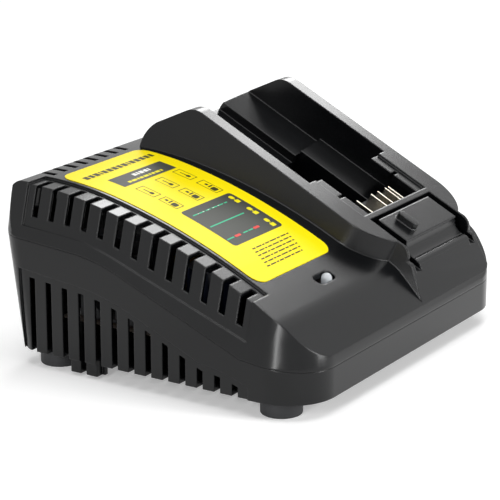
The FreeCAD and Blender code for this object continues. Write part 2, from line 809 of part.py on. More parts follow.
def latch_tab():
    """The springy tongue at the low end of the bay that clicks into the battery."""
    half = "(tab_half-tab_clearance)"
    back = "(0-stop_face-stop_thick-tab_groove)"
    view = side_outline("tab_view", [
        slope_point(back, "tab_thick"),
        slope_point(NOSE, "tab_thick*1.5"),
        slope_point(CREASE, "tab_nose_drop+tab_thick"),
        slope_point(CREASE, "tab_nose_drop") + ("6",),
        slope_point(NOSE, "0"),
        slope_point(back, "0"),
    ], "bay_centre")
    tongue = extrude("tab_tongue", view, half + "*2", both=True)
    boss = extrude("tab_boss", slope_outline("tab_boss_rim", [
        ("boss_offset-boss_width/2", "%s-4" % back),
        ("boss_offset-boss_width/2", "%s-4-boss_length+1.5" % back),
        ("boss_offset", "%s-4-boss_length" % back),
        ("boss_offset+boss_width/2", "%s-4-boss_length+1.5" % back),
        ("boss_offset+boss_width/2", "%s-4" % back),
        ("boss_offset", "%s-2.5" % back),
    ], "rail_plane-tab_thick/2"), "tab_thick/2+boss_height")
    return keep(fuse("tab_body", [tongue, boss]), "latch_tab")


BLADE_SPOTS = {
    "1": "-15.1",
    "2": "-1.4",
    "3": "4.7",
    "4": "12",
    "5": "15",
}


def blade_box(name, across):
    return block(name, ("blade_thick", "blade_length", "blade_stand+blade_root"),
                 ("bay_centre+%s-blade_thick/2" % across, "0-stop_face+0.4",
                  "rail_plane-blade_depth-blade_stand-blade_root"), sloped=True)


def terminal_set():
    """The contact block in the well and its upright blades."""
    body = block("terminal_body", ("well_half*2-1", "15", "well_depth-blade_depth-blade_stand-0.1"),
                 ("bay_centre-well_half+0.5", "0-stop_face+0.2", "rail_plane-well_depth+0.1"),
                 sloped=True)
    blades = []
    for name, across in BLADE_SPOTS.items():
        blade = blade_box("blade_" + name, across)
        keep(blade, "terminal_blade_" + name)
        blades.append(blade)
    slits = [blade_box("slit_" + name, across) for name, across in BLADE_SPOTS.items()]
    keep(cut("terminal_cut", body, slits), "terminal_block")


def lamp():
    """The charge lamp: a clear domed bulb on its own small board under the lamp hole."""
    stem = post("lamp_stem", "lamp_radius", "lamp_stem_height",
                ("lamp_across+lamp_shift", "lamp_along", "lamp_level"))
    dome = doc.addObject("Part::Sphere", "lamp_dome")
    bind(dome, "Radius", "lamp_radius")
    place(dome, ("lamp_across+lamp_shift", "lamp_along", "lamp_level+lamp_stem_height"))
    keep(fuse("lamp_body", [stem, dome]), "led_lamp")
    left = "lamp_across-lamp_board_width/2"
    board = block("lamp_board", ("lamp_board_width", "lamp_board_depth", "board_thick"),
                  (left, "lamp_along-lamp_board_depth/2", "lamp_level-board_thick"))
    keep(board, "led_board")
    front = "lamp_along-lamp_leg_depth/2"
    legs = [block("lamp_leg_%d" % i,
                  ("lamp_leg_width", "lamp_leg_depth", "lamp_level-board_thick-foot_drop-wall"),
                  (left + shift, front, "foot_drop+wall"))
            for i, shift in enumerate(("", "+lamp_board_width-lamp_leg_width"))]
    foot = block("lamp_foot", ("lamp_board_width", "lamp_leg_depth", "lamp_leg_width"),
                 (left, front, "foot_drop+wall"))
    keep(fuse("lamp_bracket_body", legs + [foot]), "led_board_bracket")


def on_board(name, size, x, y, lift="0"):
    """A box that stands on the main board with its middle at x, y."""
    return block(name, size, ("%s-(%s)/2" % (x, size[0]), "%s-(%s)/2" % (y, size[1]),
                              BOARD_TOP + "+" + lift))


def can(name, radius, height, x, y):
    return keep(post(name, radius, height, (x, y, BOARD_TOP)), name)


def circuit():
    """The main board and what stands on it."""
    board = block("board_sheet", ("board_right-board_left", "board_rear-board_front", "board_thick"),
                  ("board_left", "board_front", "board_level"))
    holes = posts_at("board_hole", BOARD_STANDS, "board_hole_radius", "board_thick*3.75",
                     "board_level-board_thick*1.25")
    keep(cut("board_cut", board, [holes]), "main_circuit_board")
    shafts = posts_at("board_screw_shaft", BOARD_STANDS, "board_screw_radius", "board_screw_length",
                      "board_level-board_screw_length+board_thick")
    heads = posts_at("board_screw_head", BOARD_STANDS, "board_screw_head", "board_screw_head_height",
                     BOARD_TOP)
    keep(fuse("board_screw_set", [shafts, heads]), "board_screws")
    core = cut("core_body", on_board("core_block", ("30", "12", "28"), "-30", "26"), [
        on_board("core_window_left", ("6", "14", "18"), "-38", "26", "5"),
        on_board("core_window_right", ("6", "14", "18"), "-22", "26", "5")])
    keep(core, "transformer_core")
    coil_rim = on_board("coil_block", ("21.6", "21.6", "17.6"), "-30", "26", "5.2")
    coil_hole = on_board("coil_hole", ("10", "12", "18"), "-30", "26", "5")
    keep(cut("coil_body", coil_rim, [coil_hole]), "transformer_winding")
    can("bulk_capacitor", "11", "30", "-62", "-14")
    can("output_capacitor_1", "5", "20", "-8", "20")
    can("output_capacitor_2", "5", "20", "-8", "33")
    can("line_choke", "7", "15", "-46", "46")
    keep(on_board("box_capacitor", ("18", "8", "15"), "-18", "46"), "line_filter_capacitor")
    keep(on_board("fuse_box", ("9", "5", "8"), "-2", "46"), "fuse")
    keep(on_board("bridge_box", ("5", "18", "16"), "-50", "22"), "bridge_rectifier")
    for name, x in (("primary", "-40"), ("secondary", "-10")):
        keep(on_board(name + "_sink", ("24", "2.5", "20"), x, "0"), name + "_heat_sink")
    keep(on_board("switch_box", ("10", "4.5", "15"), "-40", "0-3.6", "3"), "switching_transistor")
    keep(on_board("diode_box", ("10", "4.5", "15"), "-10", "0-3.6", "3"), "output_rectifier")
    keep(on_board("control_sheet", ("34", "1.6", "14"), "-10", "0-20"), "control_board")
    keep(on_board("inlet_box", ("12", "10", "9"), "gland_x", "44"), "mains_terminal")
    for spot, (x, y) in {"switching": ("-40", "-3.6"), "output": ("-10", "-3.6")}.items():
        legs = [on_board("%s_leg_%d" % (spot, i), ("0.8", "0.6", "3"), "%s+%d" % (x, 2.5 * i - 2.5), y)
                for i in (0, 1, 2)]
        keep(fuse(spot + "_legs", legs), spot + "_device_legs")


def cord_gland():
    """The bushing in the rear wall that the mains lead passes through."""
    sleeve = gland_post("gland_sleeve", "gland_radius-seat_gap", "gland_sleeve", "1")
    collar = gland_post("gland_collar", "gland_radius+2", "3", "3+seat_gap")
    bore = gland_post("gland_way", "gland_bore", "gland_sleeve*3", "gland_sleeve")
    keep(cut("gland_body", fuse("gland_solid", [sleeve, collar]), [bore]), "cord_gland")


def cooling_fan():
    """A square fan beside the label-side vents: frame with a hub, and the rotor on its pin."""
    turn = (V(0, 1, 0), "90")
    centre = "(board_level+board_thick+fan_size/2)"
    mid = "(fan_y)"
    plate = block("fan_plate", ("fan_thick", "fan_size", "fan_size"),
                  ("fan_x", mid + "-fan_size/2", centre + "-fan_size/2"))
    opening = post("fan_opening", "fan_bore_radius", "fan_thick+2", ("fan_x-1", mid, centre), turn)
    ring = cut("fan_ring", plate, [opening])
    arms = [block("fan_arm_%d" % i, ("1.2", wide, tall),
                  ("fan_x", mid + "-(%s)/2" % wide, centre + "-(%s)/2" % tall))
            for i, (wide, tall) in enumerate((("fan_bore_radius*2+1", "2"), ("2", "fan_bore_radius*2+1")))]
    hub = post("fan_motor_plate", "fan_hub_radius", "1.2", ("fan_x", mid, centre), turn)
    pin = post("fan_pin", "fan_shaft_radius", "fan_thick-3", ("fan_x+1", mid, centre), turn)
    keep(fuse("fan_frame_body", [ring, hub, pin] + arms), "fan_frame")
    cup = post("fan_cup", "fan_hub_radius", "fan_thick-3", ("fan_x+1.7", mid, centre), turn)
    blades = []
    for i in range(7):
        blade = block("fan_blade_%d" % i, ("fan_thick-5", "1", "fan_blade_radius-fan_hub_radius/2"),
                      ("fan_x+2.2", mid, centre))
        spin = FreeCAD.Rotation(V(1, 0, 0), 360.0 * i / 7)
        start = V(number("fan_x+2.2"), number(mid), number(centre))
        start += spin.multVec(V(0, 0, number("fan_hub_radius/2")))
        blade.Placement = FreeCAD.Placement(start, spin)
        blades.append(blade)
    bore = post("fan_rotor_bore", "fan_shaft_radius+fan_running_gap", "fan_thick",
                ("fan_x", mid, centre), turn)
    keep(cut("fan_rotor_cut", fuse("fan_rotor_body", [cup] + blades), [bore]), "fan_rotor")


upper_housing()
lower_housing()
rubber_feet()
housing_screws()
label()
latch_tab()
terminal_set()
lamp()
circuit()
cord_gland()
cooling_fan()
doc.recompute()

failed = [item.Label for item in doc.Objects if {"Invalid", "Error"} & set(map(str, item.State))]
failed += [item.Label for item in kept if item.Shape.isNull() or not item.Shape.isValid()]
if failed:
    raise RuntimeError("failed: " + ", ".join(failed))
os.makedirs("parts", exist_ok=True)
for item in kept:
    item.Shape.exportStep("parts/%s.step" % item.Label)
    print(item.Label, len(item.Shape.Solids), round(item.Shape.Volume))
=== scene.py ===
import json
import math

import bmesh
import bpy
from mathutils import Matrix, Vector


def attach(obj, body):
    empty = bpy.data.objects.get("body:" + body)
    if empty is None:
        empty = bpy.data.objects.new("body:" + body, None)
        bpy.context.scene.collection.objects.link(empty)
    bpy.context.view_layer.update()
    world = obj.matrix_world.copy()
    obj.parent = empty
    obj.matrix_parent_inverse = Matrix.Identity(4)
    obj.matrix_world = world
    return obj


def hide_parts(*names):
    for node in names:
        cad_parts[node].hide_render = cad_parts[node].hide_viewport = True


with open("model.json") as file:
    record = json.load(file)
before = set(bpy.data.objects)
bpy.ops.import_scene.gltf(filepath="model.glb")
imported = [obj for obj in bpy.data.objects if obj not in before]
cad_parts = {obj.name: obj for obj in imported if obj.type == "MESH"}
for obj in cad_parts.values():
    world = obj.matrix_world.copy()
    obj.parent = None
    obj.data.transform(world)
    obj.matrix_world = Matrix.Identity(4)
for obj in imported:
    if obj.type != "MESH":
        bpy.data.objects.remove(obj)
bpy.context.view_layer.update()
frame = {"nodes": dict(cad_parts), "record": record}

MM = 0.001


# Camera. The charger is seen from its low left corner, a little above the bench, through
# a long lens, as the photograph shows it.
lens = bpy.data.cameras.new("camera")
lens.sensor_width = 36.0
lens.lens = 154.7
lens.clip_end = 20.0
camera = bpy.data.objects.new("camera", lens)
bpy.context.scene.collection.objects.link(camera)
camera.location = (-0.8123, -0.5125, 0.3323)
aim = math.radians(32.52)
tilt = math.radians(16.80)
toward = Vector((math.cos(aim) * math.cos(tilt), math.sin(aim) * math.cos(tilt), -math.sin(tilt)))
camera.rotation_euler = toward.to_track_quat("-Z", "Y").to_euler()
bpy.context.scene.camera = camera


# Housing plastic. Black ABS moulded against a finely etched tool: a soft sheen over a
# tight grain that breaks up the highlights.
def linear(code):
    """An sRGB hex colour as linear red, green, blue and alpha."""
    parts = [int(code[i:i + 2], 16) / 255 for i in (1, 3, 5)]
    return tuple(c / 12.92 if c <= 0.04045 else ((c + 0.055) / 1.055) ** 2.4 for c in parts) + (1.0,)


def add(tree, kind, settings=None, inputs=None, links=None):
    """A node of a kind with its settings, its input values and the sockets linked into it."""
    node = tree.nodes.new(kind)
    for name, value in (settings or {}).items():
        setattr(node, name, value)
    for name, value in (inputs or {}).items():
        node.inputs[name].default_value = value
    for name, socket in (links or {}).items():
        tree.links.new(socket, node.inputs[name])
    return node


def new_material(name):
    """An empty material, its node tree, and the coordinates that its patterns follow."""
    material = bpy.data.materials.new(name)
    material.use_nodes = True
    tree = material.node_tree
    tree.nodes.clear()
    place = add(tree, "ShaderNodeTexCoord").outputs["Object"]
    return material, tree, place


def finish_material(tree, shader):
    add(tree, "ShaderNodeOutputMaterial", links={"Surface": shader.outputs["BSDF"]})


def moulded_plastic(name, dark, pale, rough, grain_mm, bump_mm, shine=0.5, edge_mm=0.3):
    """Moulded plastic: a mottled colour, a cloudy roughness and an etched grain."""
    material, tree, place = new_material(name)
    cloud = add(tree, "ShaderNodeTexNoise", inputs={"Scale": 45.0, "Detail": 4.0}, links={"Vector": place})
    mix = add(tree, "ShaderNodeMix", {"data_type": "RGBA"}, {"A": linear(dark), "B": linear(pale)},
              {"Factor": cloud.outputs["Fac"]})
    grain = add(tree, "ShaderNodeTexNoise", inputs={"Scale": 1.0 / (grain_mm * MM), "Detail": 2.0},
                links={"Vector": place})
    rough_map = add(tree, "ShaderNodeMapRange", inputs={"To Min": rough - 0.05, "To Max": rough + 0.07},
                    links={"Value": cloud.outputs["Fac"]})
    eased = add(tree, "ShaderNodeBevel", {"samples": 6}, {"Radius": edge_mm * MM})
    bump = add(tree, "ShaderNodeBump", inputs={"Strength": 0.35, "Distance": bump_mm * MM},
               links={"Height": grain.outputs["Fac"], "Normal": eased.outputs["Normal"]})
    shader = add(tree, "ShaderNodeBsdfPrincipled",
                 inputs={"IOR": 1.53, "Specular IOR Level": shine},
                 links={"Base Color": mix.outputs["Result"], "Roughness": rough_map.outputs["Result"],
                        "Normal": bump.outputs["Normal"]})
    finish_material(tree, shader)
    return material


housing_plastic = moulded_plastic("black_abs_fine_grain", "#060708", "#090a0c", 0.22, 0.4, 0.02, 0.3, 0.9)


def pick(obj):
    """Select one object alone."""
    bpy.ops.object.select_all(action="DESELECT")
    obj.select_set(True)
    bpy.context.view_layer.objects.active = obj


def wear(obj, material):
    obj.data.materials.clear()
    obj.data.materials.append(material)


SHARP_FROM = math.radians(28.0)
SMOOTH_UP_TO = math.radians(32.0)
FLAT_WITHIN = math.radians(0.6)
JOIN_MM = 0.004


def eased_copy(node, name, material, width_mm, segments=2):
    """A copy of a CAD piece with its facets joined and its sharp edges eased as in a mould."""
    source = frame["nodes"][node]
    piece = source.copy()
    piece.data = source.data.copy()
    piece.name = name
    piece.parent = None
    for key in list(piece.keys()):
        del piece[key]
    bpy.context.scene.collection.objects.link(piece)
    pick(piece)
    bpy.ops.object.mode_set(mode="EDIT")
    bpy.ops.mesh.select_all(action="SELECT")
    bpy.ops.mesh.remove_doubles(threshold=JOIN_MM * MM)
    bpy.ops.mesh.dissolve_limited(angle_limit=FLAT_WITHIN)
    bpy.ops.object.mode_set(mode="OBJECT")
    if width_mm:
        bevel = piece.modifiers.new("eased_edges", "BEVEL")
        bevel.width = width_mm * MM
        bevel.segments = segments
        bevel.limit_method = "ANGLE"
        bevel.angle_limit = SHARP_FROM
        bpy.ops.object.modifier_apply(modifier=bevel.name)
    bpy.ops.object.shade_smooth_by_angle(angle=SMOOTH_UP_TO)
    flat = piece.modifiers.new("flat_faces", "WEIGHTED_NORMAL")
    flat.keep_sharp = True
    flat.weight = 100
    bpy.ops.object.modifier_apply(modifier=flat.name)
    wear(piece, material)
    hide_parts(node)
    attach(piece, next(b for b, members in frame["record"]["behaviour"]["bodies"].items()
                        if node in members))
    return piece


# Upper shell. Black ABS in one moulding, which carries the crown, the battery deck with
# its two rails, and the hollow behind it; its edges are eased as the tool leaves them.
eased_copy("upper_housing", "upper_shell", housing_plastic, 0.5, segments=3)

# Lower shell. The same black ABS, moulded as an open tray with slotted walls.
# It carries the feet and every inner part, and takes the screws from below.
eased_copy("lower_housing", "lower_shell", housing_plastic, 0.5, segments=3)

# Latch tongue. A sprung tab of the same plastic at the low end of the deck, cut free on
# three sides, with a chisel-backed catch standing on it that holds the battery.
eased_copy("latch_tab", "latch_tongue", housing_plastic, 0.4)


# Label. A printed vinyl sticker, bright yellow with a clear satin face, pressed onto the
# crowned top, with rounded corners and a thin cut edge.
def printed_vinyl(name, code, rough):
    """Ink on vinyl: a faintly uneven colour under a satin film with an orange-peel face."""
    material, tree, place = new_material(name)
    cloud = add(tree, "ShaderNodeTexNoise", inputs={"Scale": 30.0, "Detail": 3.0}, links={"Vector": place})
    base = linear(code)
    deep = tuple(c * 0.96 for c in base[:3]) + (1.0,)
    mix = add(tree, "ShaderNodeMix", {"data_type": "RGBA"}, {"A": base, "B": deep},
              {"Factor": cloud.outputs["Fac"]})
    peel = add(tree, "ShaderNodeTexNoise", inputs={"Scale": 900.0, "Detail": 1.0}, links={"Vector": place})
    bump = add(tree, "ShaderNodeBump", inputs={"Strength": 0.12, "Distance": 0.02 * MM},
               links={"Height": peel.outputs["Fac"]})
    shader = add(tree, "ShaderNodeBsdfPrincipled",
                 inputs={"Roughness": rough, "IOR": 1.45, "Specular IOR Level": 0.2},
                 links={"Base Color": mix.outputs["Result"], "Normal": bump.outputs["Normal"]})
    finish_material(tree, shader)
    return material


yellow_vinyl = printed_vinyl("yellow_printed_vinyl", "#ffe900", 0.5)
label = eased_copy("label", "label_sheet", yellow_vinyl, 0.0)


# Print on the label. Thin films of ink that lie on the sheet: grey and charcoal panels,
# a chart of coloured lines, rows of outlined signs, and plain bars.
INK_LIFT = 0.04
FILM_THICK = 0.02
ABOVE_LABEL = 200.0


def on_label(x, y):
    """The point of the label's face over x, y in millimetres, lifted by the ink."""
    hit, spot, _, _ = label.ray_cast(Vector((x, y, ABOVE_LABEL)) * MM, Vector((0, 0, -1)))
    if not hit:
        raise RuntimeError("the print leaves the label")
    return Vector((x * MM, y * MM, spot.z + INK_LIFT * MM))


def ink_patch(mesh, x0, x1, y0, y1, corner=0.0):
    """A rectangle of ink with rounded corners, laid on the crown in rows along its slope."""
    step = 0.25 if corner or y1 - y0 < 3.0 else 1.0
    rows = max(2, math.ceil((y1 - y0) / step))
    last = None
    for row in range(rows + 1):
        y = y0 + (y1 - y0) * row / rows
        edge = min(y - y0, y1 - y, corner)
        inset = corner - math.sqrt(max(0.0, corner ** 2 - (corner - edge) ** 2))
        ends = [mesh.verts.new(on_label(x, y)) for x in (x0 + inset, x1 - inset)]
        if last:
            mesh.faces.new((last[0], last[1], ends[1], ends[0]))
        last = ends


def ink_frame(mesh, x0, x1, y0, y1, line):
    """A rectangle drawn with four thin lines."""
    ink_patch(mesh, x0, x1, y0, y0 + line)
    ink_patch(mesh, x0, x1, y1 - line, y1)
    ink_patch(mesh, x0, x0 + line, y0 + line, y1 - line)
    ink_patch(mesh, x1 - line, x1, y0 + line, y1 - line)


def ink_bars(mesh, x0, x1, y, tall, lengths, gap):
    """A row of short bars, as long as the lengths say in turn, up to the row's end."""
    x = x0
    turn = 0
    while x < x1 - gap:
        end = min(x1, x + lengths[turn % len(lengths)])
        ink_patch(mesh, x, end, y, y + tall)
        x = end + gap
        turn += 1


def printed(name, material, draw, lift=0.0):
    """One colour of ink as a piece, drawn patch by patch onto the label."""
    mesh = bmesh.new()
    draw(mesh)
    bmesh.ops.translate(mesh, verts=mesh.verts, vec=(0, 0, lift * MM))
    data = bpy.data.meshes.new(name)
    mesh.to_mesh(data)
    mesh.free()
    piece = bpy.data.objects.new(name, data)
    bpy.context.scene.collection.objects.link(piece)
    pick(piece)
    skin = piece.modifiers.new("film", "SOLIDIFY")
    skin.thickness = FILM_THICK * MM
    skin.offset = 1.0
    bpy.ops.object.modifier_apply(modifier=skin.name)
    wear(piece, material)
    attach(piece, "housing")
    return piece


CHART_LEFT, CHART_RIGHT, CHART_FRONT, CHART_REAR = -57.0, -17.0, -23.3, 5.8
CHART_ROWS = (0.7, -9.0, -18.9)
SIGN_COLUMNS = (-52.5, -36.0, -20.5)


def charcoal_print(mesh):
    ink_patch(mesh, CHART_LEFT, CHART_RIGHT, CHART_FRONT, CHART_REAR, 1.8)
    ink_patch(mesh, -58.2, -17.3, 34.8, 44.4)


def grey_print(mesh):
    ink_bars(mesh, -65.0, -12.5, 50.4, 3.2, (2.9, 2.6, 3.1, 1.1, 2.8, 2.9), 1.0)
    for column, x in enumerate(SIGN_COLUMNS):
        ink_frame(mesh, x - 3.0, x + 3.0, 21.0 + column, 31.0 + column, 0.32)
        ink_patch(mesh, x - 0.3, x + 0.3, 23.0 + column, 28.6 + column)
        ink_patch(mesh, x - 1.1, x + 1.1, 23.0 + column, 25.0 + column, 0.6)
        ink_frame(mesh, x - 3.0, x + 3.0, 8.6, 18.6 + column * 0.6, 0.32)
        ink_patch(mesh, x - 2.0, x + 1.6, 10.0, 13.0, 0.7)
        ink_patch(mesh, x - 1.2, x + 2.0, 13.8, 14.6)
        ink_patch(mesh, x - 0.6, x + 1.0, 15.4, 17.0, 0.4)
    for line in range(6):
        y = -28.4 - 2.1 * line
        ink_bars(mesh, -50.5 - 0.9 * line, -19.0 - 1.3 * line, y, 0.62, (2.4, 4.1, 1.6, 3.2, 5.0), 0.8)


def green_print(mesh):
    ink_bars(mesh, -53.7, -26.3, CHART_ROWS[0], 0.62, (3.6, 4.4), 1.1)
    ink_patch(mesh, -54.6, -27.2, CHART_ROWS[1], CHART_ROWS[1] + 0.62)
    ink_patch(mesh, -56.0, -50.6, CHART_ROWS[2], CHART_ROWS[2] + 0.62)
    ink_bars(mesh, -43.0, -35.2, CHART_ROWS[2], 0.62, (3.6,), 0.6)


def red_print(mesh):
    for x in (-47.6, -32.4):
        ink_patch(mesh, x - 2.3, x + 2.3, CHART_ROWS[2] - 0.35, CHART_ROWS[2] + 0.95, 0.64)


def yellow_print(mesh):
    for x, y in ((-20.4, 0.6), (-21.0, -9.6), (-21.6, -19.2)):
        ink_patch(mesh, x - 1.4, x + 1.4, y + 0.6, y + 3.1, 0.9)
        ink_patch(mesh, x - 1.6, x + 1.6, y - 2.6, y - 0.4, 0.3)
        ink_patch(mesh, x - 0.5, x + 0.5, y - 0.1, y + 0.4)
    ink_bars(mesh, -52.0, -25.0, 36.4, 1.5, (2.2, 3.4, 1.4), 0.7)


def white_print(mesh):
    ink_bars(mesh, -43.0, -30.0, 40.0, 2.3, (2.4, 1.4, 2.8), 0.7)
    ink_bars(mesh, -50.0, -27.0, CHART_ROWS[0] + 0.1, 0.4, (0.8,), 3.2)


charcoal_ink = printed_vinyl("charcoal_ink", "#3c3e39", 0.5)
printed("label_panels", charcoal_ink, charcoal_print)
printed("label_signs", printed_vinyl("dark_olive_ink", "#3a3a18", 0.55), grey_print)
printed("label_green_lines", printed_vinyl("green_ink", "#2fbf8f", 0.5), green_print, 0.03)
printed("label_red_marks", printed_vinyl("red_ink", "#e0413a", 0.5), red_print, 0.05)
printed("label_pack_marks", printed_vinyl("yellow_ink", "#f4e60c", 0.5), yellow_print, 0.03)
printed("label_white_bars", printed_vinyl("white_ink", "#f3f3ea", 0.5), white_print, 0.05)


# Feet. Four moulded plugs of black rubber pressed into sockets of the lower shell, with
# a dull, slightly dusty skin.
rubber = moulded_plastic("black_rubber", "#17181a", "#222326", 0.6, 0.3, 0.06)
for corner in ("front_left", "front_right", "rear_left", "rear_right"):
    eased_copy(corner + "_foot", corner + "_rubber_foot", rubber, 0.6, segments=3)


# Contact body. Glass-filled black nylon that is moulded round the roots of the blades,
# drier and a little rougher than the housing.
nylon = moulded_plastic("black_glass_nylon", "#0c0c0d", "#141415", 0.42, 0.25, 0.03)
eased_copy("terminal_block", "contact_body", nylon, 0.35)


# Contact blades. Stamped brass strip with a bright nickel plate, its edges rolled so that
# the mating spring slides on; each is held upright by the body that is moulded round it.
def worked_metal(name, code, rough, grain=(600.0, 600.0, 40.0), metallic=1.0):
    """Metal with fine drawn marks that lie along one direction."""
    material, tree, place = new_material(name)
    stretch = add(tree, "ShaderNodeMapping", inputs={"Scale": grain}, links={"Vector": place})
    lines = add(tree, "ShaderNodeTexNoise", inputs={"Scale": 3.0, "Detail": 3.0},
                links={"Vector": stretch.outputs["Vector"]})
    rough_map = add(tree, "ShaderNodeMapRange", inputs={"To Min": rough - 0.06, "To Max": rough + 0.08},
                    links={"Value": lines.outputs["Fac"]})
    base = linear(code)
    dull = tuple(c * 0.8 for c in base[:3]) + (1.0,)
    mix = add(tree, "ShaderNodeMix", {"data_type": "RGBA"}, {"A": base, "B": dull},
              {"Factor": lines.outputs["Fac"]})
    bump = add(tree, "ShaderNodeBump", inputs={"Strength": 0.15, "Distance": 0.01 * MM},
               links={"Height": lines.outputs["Fac"]})
    shader = add(tree, "ShaderNodeBsdfPrincipled", inputs={"Metallic": metallic},
                 links={"Base Color": mix.outputs["Result"], "Roughness": rough_map.outputs["Result"],
                        "Normal": bump.outputs["Normal"]})
    finish_material(tree, shader)
    return material


nickel = worked_metal("nickel_plate", "#e6e0d2", 0.22)
for number in range(1, 6):
    eased_copy("terminal_blade_%d" % number, "contact_blade_%d" % number, nickel, 0.22, segments=3)


# Lamp. A clear epoxy bulb with a domed end. It stands in the right half of an oval hole
# and looks pale and glassy while it is off.
def clear_epoxy(name):
    material, tree, place = new_material(name)
    cloud = add(tree, "ShaderNodeTexNoise", inputs={"Scale": 700.0, "Detail": 1.0}, links={"Vector": place})
    rough_map = add(tree, "ShaderNodeMapRange", inputs={"To Min": 0.03, "To Max": 0.1},
                    links={"Value": cloud.outputs["Fac"]})
    shader = add(tree, "ShaderNodeBsdfPrincipled",
                 inputs={"Base Color": linear("#eef3f7"), "Transmission Weight": 0.45, "IOR": 1.5},
                 links={"Roughness": rough_map.outputs["Result"]})
    finish_material(tree, shader)
    return material


eased_copy("led_lamp", "lamp_bulb", clear_epoxy("clear_epoxy"), 0.0)


# Circuit boards. Brown phenolic sheet for the power circuit, and green glass sheet for
# the control circuit and for the lamp, each with faint tracks under its varnish.
def board_laminate(name, dark, pale, track):
    """Printed board: a woven ground with faint tracks showing through the varnish."""
    material, tree, place = new_material(name)
    weave = add(tree, "ShaderNodeTexNoise", inputs={"Scale": 1400.0, "Detail": 2.0}, links={"Vector": place})
    ground = add(tree, "ShaderNodeMix", {"data_type": "RGBA"}, {"A": linear(dark), "B": linear(pale)},
                 {"Factor": weave.outputs["Fac"]})
    cells = add(tree, "ShaderNodeTexVoronoi", {"feature": "DISTANCE_TO_EDGE", "distance": "EUCLIDEAN"},
                {"Scale": 130.0}, {"Vector": place})
    edge = add(tree, "ShaderNodeMapRange", inputs={"From Min": 0.1, "From Max": 0.12},
               links={"Value": cells.outputs["Distance"]})
    mix = add(tree, "ShaderNodeMix", {"data_type": "RGBA"}, {"B": linear(track)},
              {"Factor": edge.outputs["Result"], "A": ground.outputs["Result"]})
    bump = add(tree, "ShaderNodeBump", inputs={"Strength": 0.3, "Distance": 0.03 * MM},
               links={"Height": edge.outputs["Result"]})
    shader = add(tree, "ShaderNodeBsdfPrincipled", inputs={"Roughness": 0.4},
                 links={"Base Color": mix.outputs["Result"], "Normal": bump.outputs["Normal"]})
    finish_material(tree, shader)
    return material


phenolic = board_laminate("brown_phenolic_board", "#2a1c10", "#33231a", "#2f2213")
green_board = board_laminate("green_glass_board", "#0f2a1c", "#14342a", "#1b4a30")
eased_copy("main_circuit_board", "main_board", phenolic, 0.1, segments=1)
eased_copy("control_board", "control_card", green_board, 0.1, segments=1)
eased_copy("led_board", "lamp_card", green_board, 0.1, segments=1)


# Solder joints. Small bright domes where the leads of the parts come through the edge
# of the main board.
def solder_joints(name, spots, radius, material):
    mesh = bmesh.new()
    for x, y, z in spots:
        made = bmesh.ops.create_uvsphere(mesh, u_segments=16, v_segments=10, radius=radius * MM)
        bmesh.ops.scale(mesh, verts=made["verts"], vec=(1, 1, 0.8))
        bmesh.ops.translate(mesh, verts=made["verts"], vec=Vector((x, y, z)) * MM)
    for face in mesh.faces:
        face.smooth = True
    data = bpy.data.meshes.new(name)
    mesh.to_mesh(data)
    mesh.free()
    piece = bpy.data.objects.new(name, data)
    bpy.context.scene.collection.objects.link(piece)
    wear(piece, material)
    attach(piece, "housing")
    return piece


solder = worked_metal("bright_solder", "#e8e2d0", 0.25, (200.0, 200.0, 200.0))
BOARD_EDGE, BOARD_UNDER = -80.0, 22.0
solder_joints("edge_solder_joints", [(BOARD_EDGE + 1.4, 43.4 - 9.0 * i, BOARD_UNDER) for i in range(9)],
              0.95, solder)


# Screws. Zinc-plated self-tapping steel with a pan head and a cross recess, four up
# through the floor into the columns and four down through the corners of the board.
def with_cross(piece, centres, seat, deep, wide):
    """Cut a cross recess into each screw head, from the seat level by a depth."""
    cutter_mesh = bmesh.new()
    for x, y in centres:
        for long_way in ((wide, wide * 0.24), (wide * 0.24, wide)):
            made = bmesh.ops.create_cube(cutter_mesh, size=1.0)
            bmesh.ops.scale(cutter_mesh, verts=made["verts"], vec=Vector(long_way + (deep * 2,)) * MM)
            bmesh.ops.translate(cutter_mesh, verts=made["verts"], vec=Vector((x, y, seat)) * MM)
    data = bpy.data.meshes.new("cross_cutter")
    cutter_mesh.to_mesh(data)
    cutter_mesh.free()
    cutter = bpy.data.objects.new("cross_cutter", data)
    bpy.context.scene.collection.objects.link(cutter)
    pick(piece)
    recess = piece.modifiers.new("recess", "BOOLEAN")
    recess.object = cutter
    recess.operation = "DIFFERENCE"
    recess.solver = "EXACT"
    recess.use_self = True
    bpy.ops.object.modifier_apply(modifier=recess.name)
    bpy.data.objects.remove(cutter)


def island_centres(piece):
    """The middle in x and y of each separate body in a mesh, in millimetres."""
    mesh = bmesh.new()
    mesh.from_mesh(piece.data)
    left = set(mesh.verts)
    centres = []
    while left:
        group = [left.pop()]
        for vert in group:
            for edge in vert.link_edges:
                other = edge.other_vert(vert)
                if other in left:
                    left.discard(other)
                    group.append(other)
        xs = [v.co.x / MM for v in group]
        ys = [v.co.y / MM for v in group]
        centres.append(((min(xs) + max(xs)) / 2, (min(ys) + max(ys)) / 2))
    mesh.free()
    return centres


zinc = worked_metal("zinc_plated_steel", "#c4c6c9", 0.3)
case_screws = eased_copy("housing_screws", "case_screws", zinc, 0.25)
with_cross(case_screws, island_centres(case_screws),
           min(v.co.z for v in case_screws.data.vertices) / MM, 1.2, 3.4)
card_screws = eased_copy("board_screws", "board_fixing_screws", zinc, 0.2)
with_cross(card_screws, island_centres(card_screws),
           max(v.co.z for v in card_screws.data.vertices) / MM, 0.9, 2.6)


